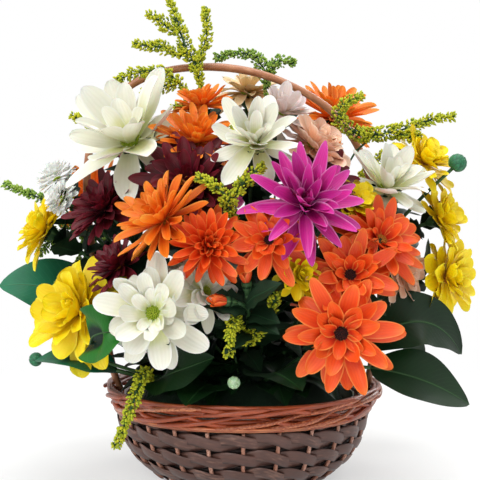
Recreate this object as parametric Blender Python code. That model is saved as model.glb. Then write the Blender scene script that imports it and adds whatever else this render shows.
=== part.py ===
"""Flower basket arrangement: a shallow willow basket with a cane handle, full of spray chrysanthemums."""
import bpy
import math
from mathutils import Vector

MM = 0.001
GAP = 0.3  # clearance between neighbouring pieces, mm

# Basket, mm
WALL_OUTLINE = [(64, 0), (69, 4), (75.5, 10), (81, 17), (85, 25), (87.5, 33), (90, 43.7)]
WALL_THICK = 4.4
BASE_THICK = 4.0
RIM_OUTLINE = [(85.3, 44), (90.8, 44), (95, 50), (99.4, 57), (99.6, 60.5), (97, 62), (94, 61), (90.5, 54)]
BASE_FLARE = 3.4  # how much wider the base is at its top than at its underside
LINER_INSET = 11.7
LINER_THICK = 0.8
LINER_HEIGHTS = [10, 17, 25, 33, 43.7]
LINER_TOP = 54.0
LINER_FLARE = 1.0  # how far the liner's mouth opens above the wall
FOAM_OUTLINE = [
    (0, 5.5), (54, 5.5), (66, 17), (72, 33), (73.5, 44), (68, 56), (58, 68), (40, 79), (20, 85), (0, 87),
]
HANDLE_RADIUS = 2.8
HANDLE_ARCH = [
    (-75.5, 22), (-80.5, 36), (-83, 46), (-91.5, 66), (-101, 110), (-108, 160), (-111, 200), (-107, 235),
    (-92, 262), (-66, 279), (-34, 285), (0, 283), (32, 273), (64, 253), (85, 222), (96, 180), (99, 140),
    (97, 105), (90.5, 66), (83, 46), (80.5, 36), (75.5, 22),
]

# Every stem points at this height on the basket's axis and stops short of it, mm
STEMS_MEET = Vector((0, 0, 50))
STEM_STOP = 30.0
STEM_RADIUS = 1.4
STALK_RADIUS = 0.9  # goldenrod
STALK_STRAIGHT = 62.0
HOLE_REACH = 75.0  # the foam's holes follow each stem this far from where the stems meet
HOLE_PAST = 12.0
HOLE_EASE = 0.1

# Heads: the flat eye, the petals' thickness and the calyx behind them, mm
NECK_BEHIND = 9.0
EYE_SHARE = 0.24
NOTCH_SHARE = 0.74
EYE_LIFT = 2.0
PETAL_TOP = 2.2
PETAL_UNDER = 0.8
PETAL_TAPER = 0.8
NOTCH_TAPER = 1.0
CALYX_SHARE = 0.16
CALYX_LEAST = 3.0
CALYX_DEPTH = 4.5

# Stems leave a head square over the first share of their run and arrive square over the second
LEAVES_OVER = 0.3
ARRIVES_OVER = 0.42
STEM_STEPS = 5
BRANCH_STEPS = 3
JOINT = 3  # the step of the main stem that branches join

PETAL_LOBES = 8
STEM_SIDES = 4
BUD_SIDES = 8
SPRIG_SIDES = 5
HOLE_SIDES = 6
ROUND_SIDES = 32

# A leaf's section, as shares of its half width and half thickness
LEAF_RING = [(-1, 0), (-0.4, 1), (0.4, 1), (1, 0), (0.4, -1), (-0.4, -1)]
LEAF_STALK_STEPS = 4
LEAF_BLADE_STEPS = 6
LEAF_STALK = (1.3, 1.2)  # half width and half thickness
LEAF_THIN = 0.7
LEAF_TIP = 0.9

# Goldenrod plumes: radius where one begins, its full radius, how much it narrows, and its knobbly steps
PLUME_START = 2.0
PLUME_RADIUS = 3.4
PLUME_NARROWS = 2.0
PLUME_KNOBS = (-0.3, 0.4)
PLUME_STEPS = 6

COLOURS = {
    "white": (0.86, 0.86, 0.74), "pompom": (0.88, 0.9, 0.86), "cream": (0.85, 0.66, 0.42),
    "peach": (0.86, 0.58, 0.42), "orange": (0.85, 0.22, 0.02), "amber": (0.86, 0.34, 0.04),
    "magenta": (0.55, 0.05, 0.35), "burgundy": (0.13, 0.01, 0.03), "yellow": (0.86, 0.66, 0.02),
    "bud": (0.05, 0.2, 0.1), "leaf": (0.02, 0.11, 0.04), "teal_leaf": (0.04, 0.24, 0.15),
    "bright_leaf": (0.03, 0.26, 0.03), "sprig": (0.45, 0.5, 0.04),
}

# Blooms: variety, then one or more heads. A head is where it stands (bearing round the basket with 0 at the
# front and 90 at the right, height angle, reach from the point where stems meet), the bearing and height it
# faces, its radius and how far its petals rise from flat, in degrees and mm.
BLOOMS = {
    "white_upper_left": ("white", [(-58, 64, 195, -20, 42, 31, 34)]),
    "white_front": ("white", [(-27, 31, 136, -10, 12, 28, 18)]),
    "white_front_spray": ("white", [(-13, 39, 133, 45, 20, 18, 30), (-22, 46, 131, -45, 55, 13, 55)]),
    "white_centre": ("white", [(5, 65, 192, 5, 40, 23, 35), (24, 73, 204, 40, 55, 16, 45)]),
    "white_right": ("white", [(62, 54, 182, 25, 50, 26, 42)]),
    "pompom_spray": ("pompom", [(-83, 50, 202, -70, 60, 14, 0), (-73, 48, 190, -60, 25, 12, 0)]),
    "cream_spray": ("cream", [(38, 67, 190, 50, 50, 19, 35), (176, 79, 224, 0, 75, 20, -25)]),
    "peach_right": ("peach", [(66, 39, 147, 60, 5, 17, 15)]),
    "orange_upper_left": ("amber", [(-29, 70, 189, 10, 50, 21, 42), (-40, 78, 208, -20, 75, 16, 30)]),
    "orange_left": ("amber", [(-26, 49, 168, -50, 35, 24, 38)]),
    "orange_inner_left": ("orange", [(-11, 45, 158, 10, 15, 19, 32)]),
    "orange_centre": ("orange", [(8, 46, 160, -5, 15, 19, 34)]),
    "orange_upper_right": ("amber", [(119, 69, 216, 40, 60, 22, 40)]),
    "orange_right_spray": ("orange", [(33, 38, 152, 0, 20, 22, 28), (47, 44, 164, 25, 30, 23, 32)]),
    "orange_low": ("orange", [(27, 25, 142, -5, 0, 26, 14)]),
    "orange_buds": ("orange", [(1, 40, 142, -10, 70, 6, 70), (-6, 35, 138, -60, 10, 7, 60)]),
    "magenta": ("magenta", [(19, 50, 177, 5, 24, 28, 40)]),
    "burgundy_left_spray": ("burgundy", [(-59, 52, 170, -40, 40, 22, 20), (-46, 42, 146, -60, 40, 18, 35)]),
    "burgundy_centre": ("burgundy", [(-24, 61, 171, -10, 35, 24, 20)]),
    "burgundy_right": ("burgundy", [(36, 61, 170, 10, 45, 18, 25)]),
    "yellow_upper_left": ("yellow", [(-82, 41, 182, -75, 30, 20, 20)]),
    "yellow_left": ("yellow", [(-60, 29, 139, -40, 15, 28, 25)]),
    "yellow_right_spray": ("yellow", [(80, 53, 208, 50, 45, 20, 35), (80, 43, 187, 65, 20, 18, 35)]),
    "yellow_low_right": ("yellow", [(79, 32, 166, 55, 5, 22, 35)]),
    "yellow_inner_spray": ("yellow", [
        (18, 41, 144, 30, 10, 13, 40), (22, 38, 142, 5, 10, 7, 50), (46, 54, 169, 25, 35, 14, 45),
    ]),
    "back_orange_spray": ("orange", [(150, 48, 171, 150, 35, 24, 28), (172, 30, 144, 172, 12, 24, 22)]),
    "back_white_spray": ("white", [(-150, 52, 176, -150, 40, 26, 30), (-128, 32, 150, -125, 15, 25, 22)]),
    "back_yellow_spray": ("yellow", [(122, 38, 163, 120, 25, 24, 28), (146, 22, 140, 146, 8, 22, 22)]),
    "back_magenta_spray": ("magenta", [(178, 61, 178, 180, 45, 25, 36), (-172, 40, 146, -172, 25, 22, 22)]),
    "back_amber_spray": ("amber", [(-112, 50, 186, -110, 40, 24, 30), (-118, 67, 197, -115, 60, 22, 32)]),
}

# Closed buds: bearing, height angle, reach, radius
BUDS = {
    "green_bud_right": (77, 48, 224, 6.5),
    "green_bud_left": (-80, 12, 149, 5.0),
    "green_bud_front": (-3, 15, 114, 4.0),
}

# Leaves: colour, the bearing and height angle of the stalk, blade start, middle and tip, the way the upper
# face looks, half width and how far the edges rise, mm
LEAVES = {
    "leaf_left_large": (
        "teal_leaf", (-94, 22), (-98, 10, 102), (-134, 0, 126), (-173, -4, 130), (-0.1, -0.8, 0.6), 23, 3,
    ),
    "leaf_left_cupped": (
        "bright_leaf", (-46, 17), (-94, -94, 102), (-85, -104, 108), (-70, -105, 110), (0.4, -0.8, 0.45), 17, 7,
    ),
    "leaf_left_low": (
        "leaf", (-68, 14), (-84, -52, 78), (-108, -58, 86), (-139, -44, 83), (-0.1, -0.5, 0.85), 14, 2,
    ),
    "leaf_front_left": (
        "leaf", (-38, 15), (-54, -70, 74), (-42, -88, 82), (-18, -98, 93), (0.2, -0.8, 0.6), 16, 3,
    ),
    "leaf_front_tip": (
        "leaf", (-16, 15), (-20, -62, 70), (-27, -84, 70), (-35, -108, 65), (0.0, -0.35, 0.95), 17, 2,
    ),
    "leaf_front_right": (
        "leaf", (14, 17), (16, -64, 74), (22, -86, 80), (36, -106, 74), (0.1, -0.5, 0.85), 20, 2,
    ),
    "leaf_right_upper": (
        "leaf", (62, 22), (80, -48, 94), (117, -56, 110), (147, -42, 87), (0.1, -0.8, 0.55), 20, 2,
    ),
    "leaf_right_lower": (
        "leaf", (56, 14), (84, -56, 80), (118, -62, 72), (150, -52, 55), (0.1, -0.75, 0.65), 18, 2,
    ),
    "leaf_back_left": (
        "leaf", (-112, 16), (-84, 36, 78), (-118, 54, 86), (-146, 62, 72), (-0.2, 0.3, 0.9), 21, 3,
    ),
    "leaf_back_right": (
        "leaf", (112, 16), (84, 36, 78), (116, 54, 84), (140, 66, 64), (0.2, 0.3, 0.9), 21, 3,
    ),
    "leaf_back": (
        "leaf", (164, 16), (20, 84, 78), (30, 112, 80), (38, 138, 62), (0.1, 0.4, 0.9), 22, 3,
    ),
}

# Goldenrod: the bearing and height angle of the stalk, then plumes as paths in mm. The first path is the main
# stem, the others start on it. A plume is thick over its last part.
SPRIGS = {
    "sprig_tall": ((-64, 80), [
        [(-20, -10, 190), (-27, -10, 261), (-35, -10, 288), (-44, -9, 311), (-55, -8, 341)],
        [(-35, -10, 288), (-50, -11, 295), (-62, -12, 298), (-76, -14, 299)],
        [(-41, -9, 304), (-52, -9, 311), (-60, -10, 317), (-67, -10, 321)],
        [(-32, -10, 280), (-28, -9, 296), (-25, -8, 308), (-26, -7, 326)],
    ]),
    "sprig_top_left": ((-62, 70), [
        [(-44, -24, 210), (-38, -22, 262), (-54, -22, 278), (-78, -22, 277), (-91, -23, 268)],
        [(-44, -22, 270), (-58, -26, 268), (-68, -32, 262)],
        [(-44, -24, 212), (-86, -24, 236), (-104, -22, 243), (-118, -22, 249)],
    ]),
    "sprig_left": ((-97, 46), [
        [(-96, 12, 156), (-122, 16, 186), (-146, 14, 192), (-172, 8, 203)],
        [(-112, 14, 175), (-134, 8, 168), (-146, 4, 152)],
        [(-96, 12, 156), (-112, 4, 140), (-124, -10, 132), (-131, -30, 128)],
    ]),
    "sprig_centre": ((-2, 53), [
        [(-4, -84, 168), (-9, -104, 186), (-14, -108, 196), (-28, -106, 204)],
        [(-9, -104, 186), (0, -104, 200), (13, -98, 211)],
    ]),
    "sprig_rim": ((-54, 26), [[(-60, -62, 72), (-62, -86, 82), (-68, -103, 64), (-79, -96, 37)]]),
    "sprig_low": ((-4, 28), [
        [(-6, -72, 98), (-5, -98, 118), (-7, -106, 114), (-9, -108, 95)],
        [(-6, -80, 104), (4, -86, 102), (15, -97, 118), (22, -102, 136)],
    ]),
    "sprig_right": ((78, 64), [
        [(66, -18, 204), (88, -20, 233), (114, -8, 241), (134, -4, 248), (150, -2, 250)],
        [(88, -20, 233), (66, -28, 240), (66, -30, 254), (82, -26, 262)],
        [(104, -12, 238), (114, -14, 235), (124, -14, 235)],
    ]),
    "sprig_handle": ((100, 78), [
        [(24, 16, 200), (20, 16, 255), (14, 16, 290), (2, 12, 297), (-20, 8, 293)],
        [(17, 16, 275), (24, 14, 292), (38, 14, 290)],
    ]),
    "sprig_back_right": ((132, 56), [
        [(70, 62, 178), (92, 78, 206), (108, 88, 226), (124, 94, 236)],
        [(92, 78, 206), (108, 74, 204), (122, 76, 198)],
    ]),
    "sprig_back_left": ((-160, 66), [
        [(-26, 60, 200), (-34, 84, 242), (-44, 98, 262), (-56, 110, 270)],
        [(-34, 84, 242), (-18, 98, 250), (-8, 108, 248)],
    ]),
}


def clear_scene():
    for ob in list(bpy.data.objects):
        bpy.data.objects.remove(ob)


def material(name, colour, roughness, metallic=0.0):
    mat = bpy.data.materials.new(name)
    mat.use_nodes = True
    shader = mat.node_tree.nodes["Principled BSDF"]
    shader.inputs["Base Color"].default_value = (*colour, 1)
    shader.inputs["Roughness"].default_value = roughness
    shader.inputs["Metallic"].default_value = metallic
    return mat


def solid(name, verts, faces):
    """A mesh object from points in mm."""
    mesh = bpy.data.meshes.new(name)
    mesh.from_pydata([tuple(c * MM for c in v) for v in verts], [], faces)
    ob = bpy.data.objects.new(name, mesh)
    bpy.context.scene.collection.objects.link(ob)
    return ob


def joined(name, pieces, operation):
    """The first piece with the others added to it or cut from it, as one plain mesh."""
    first = pieces[0]
    for other in pieces[1:]:
        step = first.modifiers.new("step", "BOOLEAN")
        step.operation = operation
        step.solver = "EXACT"
        step.object = other
    depsgraph = bpy.context.evaluated_depsgraph_get()
    mesh = bpy.data.meshes.new_from_object(first.evaluated_get(depsgraph))
    for piece in pieces:
        bpy.data.objects.remove(piece)
    mesh.name = name
    mesh.materials.clear()
    ob = bpy.data.objects.new(name, mesh)
    bpy.context.scene.collection.objects.link(ob)
    return ob


def finish(ob, colour, roughness, metallic=0.0):
    ob.data.materials.clear()
    ob.data.materials.append(material(ob.name, colour, roughness, metallic))
    return ob


def direction(bearing, height):
    b = math.radians(bearing)
    h = math.radians(height)
    return Vector((math.sin(b) * math.cos(h), -math.cos(b) * math.cos(h), math.sin(h)))


def place(bearing, height, reach):
    return STEMS_MEET + direction(bearing, height) * reach


def turned_ring(name, outline, sides):
    """A closed outline of (radius, height) turned about the axis."""
    verts = []
    faces = []
    count = len(outline)
    for i in range(sides):
        a = 2 * math.pi * i / sides
        verts += [(r * math.cos(a), r * math.sin(a), z) for r, z in outline]
    for i in range(sides):
        for j in range(count):
            k = (j + 1) % count
            n = (i + 1) % sides
            faces.append((i * count + j, n * count + j, n * count + k, i * count + k))
    return solid(name, verts, faces)


def turned_block(name, outline, sides):
    """An outline that starts and ends on the axis, turned about it."""
    inner = outline[1:-1]
    count = len(inner)
    verts = [(0, 0, outline[0][1]), (0, 0, outline[-1][1])]
    for i in range(sides):
        a = 2 * math.pi * i / sides
        verts += [(r * math.cos(a), r * math.sin(a), z) for r, z in inner]
    faces = []
    for i in range(sides):
        n = (i + 1) % sides
        here = 2 + i * count
        there = 2 + n * count
        faces.append((0, there, here))
        faces.append((1, here + count - 1, there + count - 1))
        for j in range(count - 1):
            faces.append((here + j, there + j, there + j + 1, here + j + 1))
    return solid(name, verts, faces)


def inset(outline, amount):
    return [(r - amount, z) for r, z in outline]


def outline_radius(outline, z):
    """Radius of an outline of (radius, height) at one height."""
    for (r0, z0), (r1, z1) in zip(outline, outline[1:]):
        if z0 <= z <= z1:
            return r0 + (r1 - r0) * (z - z0) / (z1 - z0)
    return outline[-1][0]


def curve_point(p, t):
    """A point on a cubic with four control points."""
    s = 1 - t
    return p[0] * s ** 3 + p[1] * (3 * s * s * t) + p[2] * (3 * s * t * t) + p[3] * t ** 3


def smooth_path(points, steps):
    """A path through every point, with steps pieces between neighbours."""
    pts = [Vector(p) for p in points]
    pts = [pts[0] * 2 - pts[1]] + pts + [pts[-1] * 2 - pts[-2]]
    path = []
    for i in range(1, len(pts) - 2):
        a, b, c, d = pts[i - 1:i + 3]
        for j in range(steps):
            t = j / steps
            bent = (a * 2 - b * 5 + c * 4 - d) * t * t + (b * 3 - a - c * 3 + d) * t ** 3
            path.append((b * 2 + (c - a) * t + bent) / 2)
    path.append(pts[-2])
    return path


def frames(path, first_side):
    """A side and a normal direction at each point of a path, carried along it without twist."""
    out = []
    side = first_side
    for i, p in enumerate(path):
        ahead = path[min(i + 1, len(path) - 1)] - path[max(i - 1, 0)]
        tangent = ahead.normalized()
        side = (side - tangent * side.dot(tangent)).normalized()
        out.append((side, tangent.cross(side)))
    return out


def any_side(tangent):
    axis = Vector((1, 0, 0)) if abs(tangent.x) < 0.7 else Vector((0, 1, 0))
    return tangent.cross(axis).normalized()


def tube_mesh(path, radii, sides):
    verts = []
    faces = []
    side = any_side((path[1] - path[0]).normalized())
    for p, r, (u, w) in zip(path, radii, frames(path, side)):
        for k in range(sides):
            a = 2 * math.pi * k / sides
            verts.append(p + u * (r * math.cos(a)) + w * (r * math.sin(a)))
    for i in range(len(path) - 1):
        for k in range(sides):
            n = (k + 1) % sides
            faces.append((i * sides + k, i * sides + n, (i + 1) * sides + n, (i + 1) * sides + k))
    faces.append(tuple(reversed(range(sides))))
    last = (len(path) - 1) * sides
    faces.append(tuple(range(last, last + sides)))
    return verts, faces


def tube(name, path, radii, sides):
    return solid(name, *tube_mesh(path, radii, sides))


def stem_path(head, facing, target, inward, steps):
    """From the back of a head to where its stem stops, leaving the head square and arriving along inward."""
    neck = head - facing * NECK_BEHIND
    run = (neck - target).length
    control = [neck, neck - facing * run * LEAVES_OVER, target - inward * run * ARRIVES_OVER, target]
    return [curve_point(control, i / steps) for i in range(steps + 1)]


def head_mesh(head, facing, radius, rise, path):
    """A lobed flower head on its calyx and stem. The middle of its face is flat."""
    u = any_side(facing)
    w = facing.cross(u)
    count = PETAL_LOBES * 2
    lift = math.radians(rise)
    eye = radius * EYE_SHARE
    notch = radius * NOTCH_SHARE
    calyx = max(radius * CALYX_SHARE, CALYX_LEAST)
    rings = [
        (eye, eye, EYE_LIFT), (radius, notch, PETAL_TOP),
        (radius - PETAL_TAPER, notch - NOTCH_TAPER, PETAL_UNDER), (calyx, calyx, -CALYX_DEPTH),
    ]
    verts = []
    faces = []
    for level, (tip, valley, base) in enumerate(rings):
        for k in range(count):
            a = 2 * math.pi * k / count
            reach = tip if k % 2 == 0 else valley
            if level in (1, 2):
                out = eye + (reach - eye) * math.cos(lift)
                up = base + (reach - eye) * math.sin(lift)
            else:
                out = reach
                up = base
            verts.append(head + (u * math.cos(a) + w * math.sin(a)) * out + facing * up)
    faces.append(tuple(range(count)))
    for level in range(len(rings) - 1):
        for k in range(count):
            n = (k + 1) % count
            here = level * count
            there = here + count
            faces.append((here + n, here + k, there + k, there + n))
    start = len(verts)
    base = start - count
    share = count // STEM_SIDES
    for p, (s, t) in zip(path, frames(path, u)):
        for k in range(STEM_SIDES):
            a = 2 * math.pi * k / STEM_SIDES
            verts.append(p + (s * math.cos(a) - t * math.sin(a)) * STEM_RADIUS)
    for k in range(STEM_SIDES):
        n = (k + 1) % STEM_SIDES
        for j in range(share):
            one = base + k * share + j
            two = base + (k * share + j + 1) % count
            faces.append((two, one, start + k))
        faces.append((base + (k + 1) * share % count, start + k, start + n))
    for i in range(len(path) - 1):
        for k in range(STEM_SIDES):
            n = (k + 1) % STEM_SIDES
            here = start + i * STEM_SIDES
            there = here + STEM_SIDES
            faces.append((here + n, here + k, there + k, there + n))
    faces.append(tuple(reversed(range(len(verts) - STEM_SIDES, len(verts)))))
    return verts, faces


def bloom(name, variety, heads):
    """One flower or a spray of them. The first head's stem reaches the foam and the others join it."""
    pieces = []
    main = None
    for i, (bearing, height, reach, face_bearing, face_height, radius, rise) in enumerate(heads):
        head = place(bearing, height, reach)
        facing = direction(face_bearing, face_height)
        if main is None:
            out = direction(bearing, height)
            path = stem_path(head, facing, STEMS_MEET + out * STEM_STOP, -out, STEM_STEPS)
            main = path
            STALKS.append(path)
        else:
            joint = main[JOINT]
            along = (main[JOINT + 1] - main[JOINT - 1]).normalized()
            inward = (joint - head).normalized() * 0.6 + along * 0.4
            path = stem_path(head, facing, joint, inward, BRANCH_STEPS)
        pieces.append(solid(name + str(i), *head_mesh(head, facing, radius, rise, path)))
    ob = joined(name, pieces, "UNION")
    return finish(ob, COLOURS[variety], 0.7)


def bud(name, bearing, height, reach, radius):
    """A closed bud and its stem, as one tube that swells at the end."""
    centre = place(bearing, height, reach)
    out = direction(bearing, height)
    start = STEMS_MEET + out * STEM_STOP
    bend = Vector((0, 0, -0.12 * reach))
    before = centre - out * (reach * 0.25) - bend * 0.3
    control = [start, start + out * (reach * 0.3), before, centre - out * radius]
    stem = [curve_point(control, i / 6) for i in range(7)]
    STALKS.append(stem)
    path = stem + [centre + out * radius * share for share in (-0.8, -0.2, 0.5, 0.95)]
    radii = [STEM_RADIUS] * 7 + [radius * share for share in (0.6, 1.0, 0.85, 0.35)]
    return finish(tube(name, path, radii, BUD_SIDES), COLOURS["bud"], 0.6)


def leaf(name, colour, root, start, middle, tip, looks, half_width, edge_rise):
    """A blade that grows out of its stalk, swept along the midrib as one flattened body."""
    out = direction(*root)
    start = Vector(start)
    middle = Vector(middle)
    tip = Vector(tip)
    looks = Vector(looks).normalized()
    foot = STEMS_MEET + out * STEM_STOP
    first = (middle - start).normalized()
    run = (start - foot).length
    control = [foot, foot + out * run * 0.45, start - first * run * 0.3, start]
    path = [curve_point(control, i / LEAF_STALK_STEPS) for i in range(LEAF_STALK_STEPS + 1)]
    STALKS.append(list(path))
    widths = [LEAF_STALK[0]] * len(path)
    bend = middle * 2 - (start + tip) / 2
    for i in range(1, LEAF_BLADE_STEPS + 1):
        t = i / LEAF_BLADE_STEPS
        path.append(start * (1 - t) ** 2 + bend * (2 * t * (1 - t)) + tip * t * t)
        widths.append(max(half_width * math.sin(math.pi * t ** 0.8) ** 0.75 if t < 1 else 0, LEAF_TIP))
    verts = []
    faces = []
    for i, (p, width) in enumerate(zip(path, widths)):
        tangent = (path[min(i + 1, len(path) - 1)] - path[max(i - 1, 0)]).normalized()
        side = tangent.cross(looks).normalized()
        up = side.cross(tangent)
        on_blade = i > LEAF_STALK_STEPS
        thick = LEAF_THIN if on_blade else LEAF_STALK[1]
        lift = edge_rise * (width / half_width) ** 2 if on_blade else 0
        for x, y in LEAF_RING:
            verts.append(p + side * (width * x) + up * (thick * y + lift * x * x))
    count = len(LEAF_RING)
    for i in range(len(path) - 1):
        for k in range(count):
            n = (k + 1) % count
            faces.append((i * count + k, i * count + n, (i + 1) * count + n, (i + 1) * count + k))
    faces.append(tuple(reversed(range(count))))
    last = (len(path) - 1) * count
    faces.append(tuple(range(last, last + count)))
    return finish(solid(name, verts, faces), COLOURS[colour], 0.45)


def sprig(name, root, plumes):
    """A goldenrod stem with side plumes, united into one body."""
    out = direction(*root)
    foot = STEMS_MEET + out * STEM_STOP
    pieces = []
    for i, points in enumerate(plumes):
        if i == 0:
            path = smooth_path([foot, STEMS_MEET + out * STALK_STRAIGHT] + points, 2)
            STALKS.append(path[:8])
            thin = len(path) - PLUME_STEPS
        else:
            path = smooth_path(points, 2)
            thin = 2
        radii = [STALK_RADIUS] * thin
        rest = len(path) - thin
        for j in range(rest):
            radii.append(PLUME_RADIUS - PLUME_NARROWS * j / (rest - 1) + PLUME_KNOBS[j % 2])
        radii[thin] = PLUME_START
        pieces.append(tube(name + str(i), path, radii, SPRIG_SIDES))
    return finish(joined(name, pieces, "UNION"), COLOURS["sprig"], 0.8)


def basket():
    """Base, wall, border, liner and handle."""
    low_radius = outline_radius(WALL_OUTLINE, 0) - WALL_THICK - GAP
    base_outline = [(0, 0), (low_radius, 0), (low_radius + BASE_FLARE, BASE_THICK), (0, BASE_THICK)]
    base = turned_block("basket_base", base_outline, ROUND_SIDES)
    finish(base, (0.2, 0.09, 0.05), 0.7)
    wall_inner = inset(WALL_OUTLINE, WALL_THICK)
    wall = turned_ring("basket_wall", WALL_OUTLINE + wall_inner[::-1], ROUND_SIDES)
    finish(wall, (0.17, 0.08, 0.06), 0.6)
    rim = turned_ring("rim_border", RIM_OUTLINE, ROUND_SIDES)
    finish(rim, (0.36, 0.12, 0.05), 0.45)
    low = BASE_THICK + GAP
    outer = [(outline_radius(WALL_OUTLINE, z) - LINER_INSET, z) for z in [low] + LINER_HEIGHTS]
    outer.append((outer[-1][0] + LINER_FLARE, LINER_TOP))
    inner = [(r - LINER_THICK, z) for r, z in outer[1:]]
    cup = [(0, low)] + outer + inner[::-1]
    cup += [(outer[0][0] - LINER_THICK, low + LINER_THICK), (0, low + LINER_THICK)]
    liner = turned_block("liner", cup, ROUND_SIDES)
    finish(liner, (0.85, 0.85, 0.83), 0.35)
    legs = [(x, 0, z) for x, z in HANDLE_ARCH]
    path = smooth_path(legs, 2)
    handle = tube("handle", path, [HANDLE_RADIUS] * len(path), 8)
    finish(handle, (0.5, 0.22, 0.11), 0.45)


def foam():
    """The floral foam, with a hole round every stem."""
    block = turned_block("foam_block", FOAM_OUTLINE, ROUND_SIDES)
    cutters = []
    for i, stalk in enumerate(STALKS):
        if (stalk[0] - STEMS_MEET).length > (stalk[-1] - STEMS_MEET).length:
            stalk = stalk[::-1]
        path = [stalk[0] - (stalk[1] - stalk[0]).normalized() * GAP]
        for p in stalk[1:]:
            path.append(p)
            if (p - STEMS_MEET).length > HOLE_REACH:
                break
        else:
            path.append(path[-1] + (path[-1] - path[-2]).normalized() * HOLE_PAST)
        radii = [STEM_RADIUS + GAP + HOLE_EASE] * len(path)
        cutters.append(tube("hole" + str(i), path, radii, HOLE_SIDES))
    return finish(joined("foam", [block] + cutters, "DIFFERENCE"), (0.03, 0.16, 0.05), 0.9)


STALKS = []
clear_scene()
basket()
for key, (kind, flower_heads) in BLOOMS.items():
    bloom(key, kind, flower_heads)
for key, values in BUDS.items():
    bud(key, *values)
for key, values in LEAVES.items():
    leaf(key, *values)
for key, (root_way, plume_paths) in SPRIGS.items():
    sprig(key, root_way, plume_paths)
foam()
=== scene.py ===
"""Looks of the flower basket arrangement: woven willow basket, spray chrysanthemums, leaves and goldenrod."""

import math
import random

import bpy
import numpy as np
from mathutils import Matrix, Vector

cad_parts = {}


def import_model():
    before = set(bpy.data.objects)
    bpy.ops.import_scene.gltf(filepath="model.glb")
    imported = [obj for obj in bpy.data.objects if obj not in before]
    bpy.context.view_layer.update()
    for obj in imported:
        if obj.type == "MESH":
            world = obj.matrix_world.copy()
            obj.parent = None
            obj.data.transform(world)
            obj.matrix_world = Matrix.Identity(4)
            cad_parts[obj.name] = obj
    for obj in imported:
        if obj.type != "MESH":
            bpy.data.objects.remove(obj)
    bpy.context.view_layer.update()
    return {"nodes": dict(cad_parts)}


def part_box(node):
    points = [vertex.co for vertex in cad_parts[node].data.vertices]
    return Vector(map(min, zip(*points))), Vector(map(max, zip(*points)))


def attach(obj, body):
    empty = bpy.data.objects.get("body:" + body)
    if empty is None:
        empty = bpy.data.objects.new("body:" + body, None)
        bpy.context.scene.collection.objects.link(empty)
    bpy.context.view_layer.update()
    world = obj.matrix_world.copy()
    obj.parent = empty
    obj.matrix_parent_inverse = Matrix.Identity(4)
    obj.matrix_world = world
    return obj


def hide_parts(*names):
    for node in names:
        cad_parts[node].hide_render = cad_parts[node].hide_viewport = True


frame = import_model()
NODES = frame["nodes"]
MM = 0.001
STEMS_MEET = np.array([0, 0, 50.0]) * MM
GOLDEN_ANGLE = 2.39996
EYE_SHARE = 0.24  # a head's eye against the head
EYE_LIFT = 2.0  # how far the eye stands over the head's centre, mm
NECK = 9.0  # from a head's centre back to its stem, mm


# ---------------------------------------------------------------- materials

def linear(code):
    """A six-digit sRGB code as a linear colour."""
    parts = [int(code[i:i + 2], 16) / 255 for i in (0, 2, 4)]
    return tuple(c / 12.92 if c < 0.04045 else ((c + 0.055) / 1.055) ** 2.4 for c in parts) + (1.0,)


class Value:
    """A shader socket that can be used in sums."""

    def __init__(self, paint, socket):
        self.paint = paint
        self.socket = socket

    def math(self, operation, *others):
        return self.paint.node("Math", {"operation": operation}, [self, *others])

    def __add__(self, other):
        return self.math("ADD", other)

    __radd__ = __add__

    def __mul__(self, other):
        return self.math("MULTIPLY", other)

    __rmul__ = __mul__

    def __sub__(self, other):
        return self.math("SUBTRACT", other)

    def __rsub__(self, other):
        return self.paint.node("Math", {"operation": "SUBTRACT"}, [other, self])

    def sine(self):
        return self.math("SINE")

    def size(self):
        return self.math("ABSOLUTE")

    def clip(self):
        return self.paint.node("Clamp", {}, [self])


class Tree:
    """The nodes of one material or of the world."""

    def __init__(self, tree):
        self.tree = tree

    def fill(self, socket, value):
        if isinstance(value, Value):
            self.tree.links.new(value.socket, socket)
        elif isinstance(value, str):
            socket.default_value = linear(value)
        else:
            socket.default_value = value

    def node(self, kind, settings, values, output=0):
        made = self.tree.nodes.new("ShaderNode" + kind)
        for key, value in settings.items():
            setattr(made, key, value)
        pairs = values.items() if isinstance(values, dict) else enumerate(values)
        for key, value in pairs:
            self.fill(made.inputs[key], value)
        return Value(self, made.outputs[output])


class Paint(Tree):
    """One material's nodes."""

    def __init__(self, name):
        self.material = bpy.data.materials.new(name)
        self.material.use_nodes = True
        super().__init__(self.material.node_tree)
        self.shader = self.tree.nodes["Principled BSDF"]

    def mix(self, factor, first, second):
        return self.node("Mix", {"data_type": "RGBA"}, {0: factor, 6: first, 7: second}, 2)

    def noise(self, scale, detail=3.0, where=None, stretch=(1, 1, 1)):
        place = where or self.node("TexCoord", {}, {}, "Object")
        place = self.node("Mapping", {}, {"Vector": place, "Scale": stretch})
        return self.node("TexNoise", {}, {"Vector": place, "Scale": scale, "Detail": detail}, 0)

    def step(self, value, low, high):
        """0 below low, 1 above high, smooth between."""
        settings = {"interpolation_type": "SMOOTHSTEP"}
        return self.node("MapRange", settings, {"Value": value, "From Min": low, "From Max": high})

    def along_across(self):
        """Place on a petal, leaf or rod: 0 to 1 along it and -1 to 1 across it."""
        grain = self.node("UVMap", {"uv_map": "Grain"}, {})
        across = self.node("SeparateXYZ", {}, [grain], 0)
        along = self.node("SeparateXYZ", {}, [grain], 1)
        return along, across * 2 - 1

    def tint(self):
        """One random number for each petal, leaf or rod."""
        return self.node("Attribute", {"attribute_name": "tint"}, {}, "Fac")

    def bump(self, height, strength, distance):
        return self.node("Bump", {}, {"Height": height, "Strength": strength, "Distance": distance})

    def done(self, **sockets):
        for key, value in sockets.items():
            self.fill(self.shader.inputs[key.replace("_", " ")], value)
        return self.material


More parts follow.
